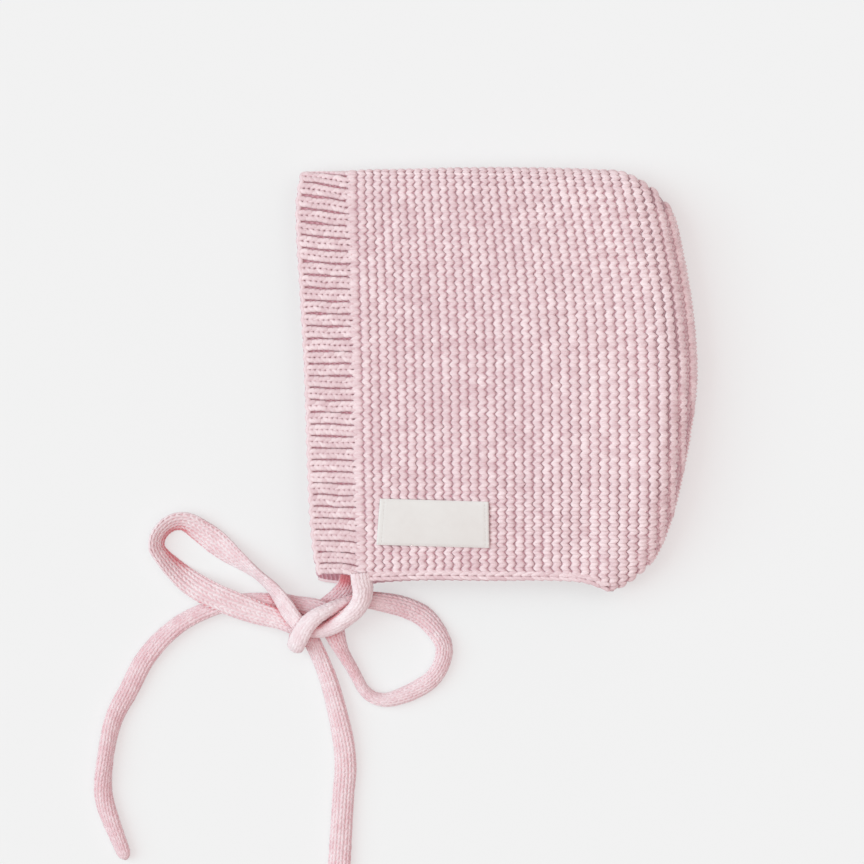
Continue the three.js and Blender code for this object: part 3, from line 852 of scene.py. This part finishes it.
def rib_legs(first, count, steps, corners):
    """The two legs of every V of some ribs."""
    rib = first + np.arange(count)[:, None, None, None]
    row = np.arange(RIB_ROWS)[None, :, None, None]
    hand = np.array([-1, 1])[None, None, :, None]
    w = np.linspace(0, 1, steps + 1)
    shape = (count, RIB_ROWS, 2, steps + 1)
    loose = chance.standard_normal(shape[:3] + (1,))
    phase, pace = chance.uniform(0.5, 1.0, (2, count, 1, 1, 1))
    x = RIB_FIRST + RIB_STITCH * row + RIB_LEG_LONG * w - RIB_LEG_BACK + 0.1 * loose
    sway = 0.14 * np.sin(1.1 * pace * (row + 2 * w) + 12 * phase)
    y = hand * (RIB_LEG_ROOT + RIB_LEG_SWING * leg_spread(w)) + 0.07 * loose + sway
    level = -0.34 * (1 - leg_spread(w)) - 0.22 * w**4 + 0.05 * loose
    x, number, level = (np.broadcast_to(v, shape) for v in (x, rib + 0.5 + y / rib_wide, level))
    centre, up = on_band(x, number)
    path = (centre + up * level[..., None]).reshape(-1, steps + 1, 3)
    ups = up.reshape(path.shape)
    level = level.reshape(path.shape[:2])
    return yarn_legs(path, ups, w, RIB_LEG_WIDE, RIB_LEG_HIGH, level, corners)


near_ribs = rib_legs(0, RIBS, 7, UPPER_CORNERS)
far_ribs = rib_legs(RIBS, RIBS, 5, PLAIN_CORNERS)
print("legs", len(near_ribs[0]), "on each layer")

# %% [markdown]
# The band's outer edge is the cast-on, a soft rim that bulges a little at each rib. On its other side a
# wide plain row joins the ribs to the first ridge of the crown and levels out the valleys between them.

# %% The soft rim and the joining row
RIM_IN = 1.25  # distance of the rim's line from the face edge
RIM_STEPS = 14  # points to a rib
RIM_WIDE, RIM_HIGH = 0.95, 0.85
RIM_SINK, RIM_SWELL = 0.3, 0.3
LIP_SINK, LIP_RADIUS = 1.1, 0.7  # of the strand that closes the lower layer's neck edge
JOIN_BACK = 1.78  # distance of the joining row from the crown
JOIN_PITCH = 2.28 * JOIN_BACK


def band_line(x):
    rib = np.linspace(0, 2 * RIBS, 2 * RIBS * RIM_STEPS + 1)
    return rib, *on_band(np.full(rib.shape, x), rib)


def soft_rim():
    rib, centre, up = band_line(RIM_IN)
    across = unit(np.cross(np.gradient(centre, axis=0), up))
    swell = RIM_SWELL * np.cos(2 * math.pi * (rib - 0.5))
    path = centre - across * swell[:, None] - up * RIM_SINK
    return one_strand(path, across, up, RIM_WIDE, RIM_HIGH, -RIM_SINK)


def lower_lip():
    x = np.linspace(0.5, band_wide, 60)
    centre, out = on_band(x, np.full(x.shape, 2 * RIBS + 0.05))
    centre = centre - out * LIP_SINK
    across = unit(np.cross(np.gradient(centre, axis=0), out))
    return one_strand(centre, across, -out, LIP_RADIUS, LIP_RADIUS, 0)


def joining_row():
    _, line, out = band_line(band_wide - JOIN_BACK)
    zero, (start, _, end) = ridge_span(line)
    pitch = np.full(len(line), JOIN_PITCH)
    return ridge_yarn(line, out, pitch, zero, start, end, NEAR_STEPS, UPPER_CORNERS)


rib_stitches = yarn_piece("rib_stitches", [near_ribs, soft_rim(), joining_row(), lower_lip()])
under_ribs = yarn_piece("under_ribs", [far_ribs])

# %% The band's shell
# Through the gaps between the legs this shell shows as the dots and dark lines of the ribs: real gaps, with
# the shell's deep red in them as painted shade.
VALLEY_INSET = 1.2
RIM_TUCK = 0.35  # share of a step by which the shell stays back under the rim
valley = band_places(VALLEY_INSET)
valley[0] += RIM_TUCK * (valley[1] - valley[0])
columns, rows = valley.shape[:2]
stitch_number = np.arange(columns) * band_wide / BAND_ACROSS / RIB_STITCH
band_values = {
    "along": np.broadcast_to(stitch_number[:, None], (columns, rows)),
    "turn": np.broadcast_to(np.arange(rows) / STEPS_PER_RIB, (columns, rows)),
}
valley_quads = sheet_quads(columns, rows)
band_shell = knit_piece("band_cloth", lie_on_table(valley), valley_quads, band_values)
thickened(band_shell, SHELL_THICK)
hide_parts("face_band")

# %% [markdown]
# ## The neck edge
# Along the neck the ridges end in a selvedge, where the yarn turns from one row to the next. It looks like
# a chain that lies along the edge: two rows of long flat legs, one on the ridges' ends and one rolled under
# below it.

# %% Chain links along the neck
LINK_WIDE, LINK_HIGH = 0.8, 0.6
LINK_LONG, LINK_BACK = 1.7, 0.95  # length of a leg and how far before its ridge it starts, in ridges
# Distance in from the edge at a leg's start and at its end, and its level.
LINK_ROWS = [(0.35, 1.5, 0.1), (-0.35, -1.1, -0.2)]


def neck_chain(layer, inner):
    """Two legs for every ridge that reaches the neck. layer and inner number its last two points there."""
    reach = np.flatnonzero(np.abs(ridge_lines[:, 0, 2] - ridge_lines[:, -1, 2]) > SHUT_HEIGHT)[:-1]
    edge = ridge_lines[reach, layer]
    run = np.gradient(edge, axis=0)[:, None]
    back = unit(ridge_lines[reach, inner] - edge)[:, None]
    up = ridge_out[reach, layer][:, None]
    w = np.linspace(0, 1, 8)
    along = (LINK_LONG * w - LINK_BACK)[:, None] * run
    paths, levels = [], []
    for start, end, base in LINK_ROWS:
        level = base + 0.2 * np.sin(math.pi * w)
        beside = (start + (end - start) * w)[:, None] * back
        paths.append(edge[:, None] + along + beside + level[:, None] * up)
        levels.append(np.broadcast_to(level, paths[-1].shape[:2]))
    paths, levels = np.concatenate(paths), np.concatenate(levels)
    ups = np.broadcast_to(np.concatenate([up] * len(LINK_ROWS)), paths.shape)
    return yarn_legs(paths, ups, w, LINK_WIDE, LINK_HIGH, levels, UPPER_CORNERS)


neck_edge = yarn_piece("neck_chain", [neck_chain(0, 1), neck_chain(-1, -2)])

# %% [markdown]
# ## The side label
# A small cream label of satin tape is sewn to the upper layer by its two short ends, with fine stitches
# through the folded ends. It is a thin pillow of a grid that follows the knitting, left bare.

# %% The label's tape
LABEL_X, LABEL_Y = -23.3, -54.7
LABEL_LONG, LABEL_WIDE = 41.6, 17.4
LABEL_THICK = 0.9
LABEL_TURN = -0.028
LABEL_LIFT = 1.0
FOLD_BACK = 3.0  # width of the folded end
SEAM_IN = 1.7  # distance of the sewn line from the end


def label_surface(a, b):
    """A point of the label's top, for places a along it and b across it, both from -1 to 1."""
    along = a * LABEL_LONG / 2 * (1 - 0.02 * b)
    across = b * LABEL_WIDE / 2
    x = LABEL_X + along * math.cos(LABEL_TURN) - across * math.sin(LABEL_TURN)
    y = LABEL_Y + along * math.sin(LABEL_TURN) + across * math.cos(LABEL_TURN)
    end = (1 - np.abs(a)) * LABEL_LONG / 2
    fold = 0.06 / (1 + np.exp((end - FOLD_BACK) / 0.3))
    sewn = -0.07 * np.exp(-(((end - SEAM_IN) / 0.4) ** 2))
    ease = 0.35 * (1 - a**4) * (1 - b**4) + 0.12 * np.sin(5.1 * a + 1.3 * b) * (1 - a**2)
    rim = -0.35 * (np.maximum(np.abs(b), 0.9) - 0.9) / 0.1 - 0.3 * np.clip(1 - end / 0.4, 0, 1)
    return np.stack([x, y, heights(x, y, 0)[0] + LABEL_LIFT + fold + sewn + ease + rim], axis=-1)


across_label = np.sin(np.linspace(-math.pi / 2, math.pi / 2, 29))
end_steps = np.linspace(0, 5, 22) / (LABEL_LONG / 2)  # closer steps over the last 5 mm at each end
along_label = np.concatenate([-1 + end_steps, np.linspace(-0.72, 0.72, 40), 1 - end_steps[::-1]])
a, b = np.meshgrid(along_label, across_label, indexing="ij")
label_values = {"along": (a + 1) * LABEL_LONG / 2, "turn": (b + 1) * LABEL_WIDE / 2}
label = knit_piece("label_tape", label_surface(a, b), sheet_quads(*a.shape), label_values)
thickened(label, LABEL_THICK)
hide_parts("side_label")

# %% The label's stitching
THREAD_RADIUS = 0.1
SEW_PITCH = 1.45
SEWN_SHARE = 0.92  # of the label's width


def sewn_line(sign):
    count = int(LABEL_WIDE * SEWN_SHARE / SEW_PITCH)
    centre = ((np.arange(count) + 0.5) / count * 2 - 1) * SEWN_SHARE
    w = np.linspace(-1, 1, 7)
    b = centre[:, None] + w * 0.36 * SEW_PITCH / (LABEL_WIDE / 2)
    a = np.full(b.shape, sign * (1 - SEAM_IN / (LABEL_LONG / 2)))
    path = label_surface(a, b)
    path[..., 2] += 0.08 - 0.16 * np.abs(w) ** 3
    radius = np.broadcast_to(THREAD_RADIUS * np.where(np.abs(w) > 0.99, 0.1, 1), b.shape)
    ups = np.broadcast_to([0.0, 0.0, 1.0], path.shape)
    return yarn_tubes(path, square_to(path, ups), ups, radius, radius, np.zeros(b.shape), PLAIN_CORNERS)


label_stitches = yarn_piece("label_stitches", [sewn_line(-1), sewn_line(1)])

# %% [markdown]
# ## The cloth in short
# The crown and the band are sheets folded over the crown line, with their yarn as pieces on them, and
# the label is a small flat sheet laid on the crown.

# %% [markdown]
# ## Shader maths
# A material is a graph of nodes, and long sums are hard to follow in it. Wrapping a socket in a small class
# lets an expression such as 1 - lift add its Math nodes by itself. Every node comes from one method, which
# takes its type, its settings and then its inputs.


# %% A socket that can be calculated with
def operator(operation):
    """An operator of the class below and its reflected form, as in lift - 1 and 1 - lift."""

    def forward(self, other):
        return self.math(operation, self, other)

    def reflected(self, other):
        return self.math(operation, other, self)

    return forward, reflected


class Link:
    def __init__(self, tree, socket=None):
        self.tree = tree
        self.socket = socket

    def node(self, kind, settings=None, inputs=None, output=0):
        made = self.tree.nodes.new("ShaderNode" + kind)
        for name, value in (settings or {}).items():
            setattr(made, name, value)
        self.feed(made, inputs or {})
        return Link(self.tree, made.outputs[output])

    def feed(self, owner, inputs):
        """Give inputs of a node a link or a value."""
        for name, value in inputs.items():
            socket = owner.inputs[name]
            if isinstance(value, Link):
                self.tree.links.new(value.socket, socket)
            else:
                socket.default_value = value

    def math(self, operation, *values):
        return self.node("Math", {"operation": operation}, dict(enumerate(values)))

    def mix(self, a, b):
        """A colour from a to b, with this value as the share of b."""
        return self.node("Mix", {"data_type": "RGBA"}, {0: self, 6: a, 7: b}, output=2)

    def smooth(self, low, high):
        settings = {"interpolation_type": "SMOOTHSTEP"}
        return self.node("MapRange", settings, {"Value": self, "From Min": low, "From Max": high})

    def attributes(self, *names):
        return [self.node("Attribute", {"attribute_name": name}, output="Fac") for name in names]

    def noise(self, scale, **inputs):
        where = self.node("TexCoord", output="Object")
        return self.node("TexNoise", None, {"Vector": where, "Scale": scale, "Detail": 3.0, **inputs})

    def bump(self, strength, distance, height):
        return self.node("Bump", None, {"Strength": strength, "Distance": distance, "Height": height})

    __add__, __radd__ = operator("ADD")
    __sub__, __rsub__ = operator("SUBTRACT")
    __mul__, __rmul__ = operator("MULTIPLY")
    __truediv__, __rtruediv__ = operator("DIVIDE")


TURN = 2 * math.pi


def new_finish(name):
    material = bpy.data.materials.new(name)
    material.use_nodes = True
    tree = material.node_tree
    return material, Link(tree), tree.nodes["Principled BSDF"]


# %% [markdown]
# ## Wool
# Soft baby yarn scatters light inside its fibres: the sides towards the light look nearly white, and the
# hollows between the loops glow in a deeper pink. The colour paints both: from the lift attribute it is a
# deeper pink in the hollows as painted shade and paler on the crests as painted light, with a random tone.
# The shader's sheen gives the pale bloom of the loose fibres. Twisted plies and stray fibres are fine bump.

# %% The yarn's finish
# PALE paints the lit crests, PINK is the yarn between, and the deep colours are painted shade in the hollows.
PALE = (0.96, 0.785, 0.805, 1)
PINK = (0.76, 0.54, 0.57, 1)
HOLLOW_SHADE = (0.68, 0.41, 0.46, 1)
YARN_PLY = 1.7  # length of one turn of the yarn's plies
FIBRE_SCALE, PATCH_SCALE = 2600.0, 230.0  # of the noise for stray fibres and for paler patches


def wool(name, low, high, pale, pink, deep):
    """Painted shade and light: the yarn goes from deep to pink as its lift goes from low to high, and its
    crests are painted pale.
    """
    material, art, shader = new_finish(name)
    lift, along, turn, tone = art.attributes("lift", "along", "turn", "tone")
    fibre = art.noise(FIBRE_SCALE, Roughness=0.7)
    patch = art.noise(PATCH_SCALE).smooth(0.36, 0.64)
    raised = lift.smooth(low, high)
    lit_crest_and_tone = raised * (0.05 + 0.7 * tone + 0.25 * patch + 0.4 * (fibre - 0.5))
    twist = art.math("SINE", (along / YARN_PLY + turn * 2.0) * TURN)
    inputs = {
        "Base Color": lit_crest_and_tone.mix(raised.mix(deep, pink), pale),
        "Normal": art.bump(0.3, 0.00022, 0.4 * twist + 0.8 * fibre),
        "Roughness": 0.82 + 0.12 * fibre,
        "Sheen Weight": 0.6,
        "Sheen Roughness": 0.5,
        "Sheen Tint": (1.0, 0.95, 0.96, 1),
        "Specular IOR Level": 0.15,
    }
    art.feed(shader, inputs)
    return material


# %% Three wools and the pieces that wear them
TIE_PALE = (0.95, 0.835, 0.855, 1)
TIE_PINK = (0.79, 0.51, 0.55, 1)
TIE_HOLLOW_SHADE = (0.74, 0.22, 0.25, 1)
garter_wool = wool("garter_wool", -0.3, 0.65, PALE, PINK, HOLLOW_SHADE)
rib_wool = wool("rib_wool", -0.5, 0.7, PALE, PINK, HOLLOW_SHADE)
tie_wool = wool("tie_wool", -0.95, 0.35, TIE_PALE, TIE_PINK, TIE_HOLLOW_SHADE)
worn = [
    (garter_wool, (front_ridges, back_ridges, under_ridges, neck_edge)),
    (rib_wool, (rib_stitches, under_ribs)),
    (tie_wool, (near_tie, far_tie)),
]
for material, pieces in worn:
    for piece in pieces:
        piece.data.materials.append(material)
    print(material.name, "on", len(pieces), "pieces")


# %% The finish of the cloth between the loops
# The colour runs from the deep colour in the low parts of the relief to the paler raised parts: painted
# shade.
def cloth_finish(name, relief, deep, pale):
    material, art, shader = new_finish(name)
    along, turn = art.attributes("along", "turn")
    swing = art.math("SINE", turn * TURN)
    ridge = art.math("SINE", (along + 0.14 * swing) * TURN)
    cross = art.math("SINE", (turn + 0.25 * ridge) * TURN)
    raised = (ridge * 0.35 + cross * 0.15 + 0.5).smooth(0.1, 0.95)
    colour, bump = raised.mix(deep, pale), art.bump(0.8, relief, raised)
    art.feed(shader, {"Base Color": colour, "Normal": bump, "Roughness": 0.9, "Sheen Weight": 0.2})
    return material


# Both cloths are a deeper pink than the yarn: painted shade for the valleys, the gaps between the legs and
# the inside of the hood.
garter_cloth = cloth_finish("garter_cloth", 0.0009, (0.64, 0.38, 0.43, 1), (0.74, 0.51, 0.55, 1))
rib_cloth = cloth_finish("rib_cloth", 0.0003, (0.54, 0.23, 0.27, 1), (0.64, 0.35, 0.40, 1))
crown_shell.data.materials.append(garter_cloth)
band_shell.data.materials.append(rib_cloth)

# %% [markdown]
# ## Label tape
# Woven satin shows long fine floats along the tape and a soft gloss. The floats are a bump from the two
# directions of the tape, a third of a millimetre apart.

# %% The label's finish
WARP_PITCH, WEFT_PITCH = 0.34, 0.42
CREAM, CREAM_SHADE = (0.86, 0.83, 0.81, 1), (0.76, 0.72, 0.695, 1)
THREAD, THREAD_SHADE = (0.84, 0.81, 0.78, 1), (0.72, 0.68, 0.66, 1)

label_finish, art, shader = new_finish("label_satin")
along, turn = art.attributes("along", "turn")
cloud = art.noise(300.0)
warp = art.math("SINE", turn * (TURN / WARP_PITCH))
weft = art.math("SINE", (along + 0.17 * warp) * (TURN / WEFT_PITCH))
weave = warp * 0.3 + weft * 0.2 + 0.5
cream = (cloud * 0.5 + weave * 0.3).mix(CREAM_SHADE, CREAM)
gloss = 0.55 + 0.15 * cloud
art.feed(shader, {"Base Color": cream, "Roughness": gloss, "Normal": art.bump(0.25, 0.0001, weave)})
label.data.materials.append(label_finish)

thread_finish, art, shader = new_finish("label_thread")
(along,) = art.attributes("along")
twist = art.math("SINE", along * 12.0)
art.feed(shader, {"Base Color": (twist * 0.5 + 0.5).mix(THREAD_SHADE, THREAD), "Roughness": 0.6})
label_stitches.data.materials.append(thread_finish)
print("label finishes", label_finish.name, thread_finish.name)

# %% [markdown]
# ## Table and light
# The bonnet lies on a plain pale surface in a white room. In the photograph the hollows of the wool are
# warm and its lit sides nearly white. So the room gives an even rosy light, a broad light from the left of
# the picture is a little cool and leaves the right sides of the loops and of the ties darker, and a soft
# one shines from above. Together they are white on the table, which also glows a little, as a lit white
# table would, and keeps the shadows faint.

# %% The pale surface
TABLE_REACH = 4.0
TABLE_GREY = (0.42, 0.42, 0.42, 1)
TABLE_GLOW = 0.466

floor_mesh = bpy.data.meshes.new("floor")
corners = [(x * TABLE_REACH, y * TABLE_REACH, 0) for x, y in ((-1, -1), (1, -1), (1, 1), (-1, 1))]
floor_mesh.from_pydata(corners, [], [(0, 1, 2, 3)])
floor = placed("floor", floor_mesh)
floor_finish, art, shader = new_finish("pale_table")
art.feed(shader, {"Base Color": TABLE_GREY, "Roughness": 1.0, "Specular IOR Level": 0.0})
art.feed(shader, {"Emission Color": (1, 1, 1, 1), "Emission Strength": TABLE_GLOW})
floor_mesh.materials.append(floor_finish)

# %% The light
ROOM_ROSE = (0.488, 0.383, 0.372, 1)
KEY_COOL = (0.667, 0.967, 1.0)
WHITE = (1, 1, 1)

scene = bpy.context.scene
scene.view_settings.view_transform = "Standard"
scene.view_settings.look = "None"
scene.world = bpy.data.worlds.new("white_room")
scene.world.use_nodes = True
room = scene.world.node_tree.nodes["Background"]
room.inputs["Color"].default_value = ROOM_ROSE
room.inputs["Strength"].default_value = 1.0


def soft_light(name, source, energy, colour, spread):
    """A sun as wide as spread degrees, which shines from the direction source."""
    data = bpy.data.lights.new(name, "SUN")
    data.energy = energy
    data.color = colour
    data.angle = math.radians(spread)
    light = placed(name, data)
    light.rotation_mode = "QUATERNION"
    light.rotation_quaternion = (-Vector(source)).to_track_quat("-Z", "Y")


soft_light("soft_key", (-1.0, 0.15, 0.85), 1.7, KEY_COOL, 50)
soft_light("overhead", (0, 0, 1), 0.88, WHITE, 70)
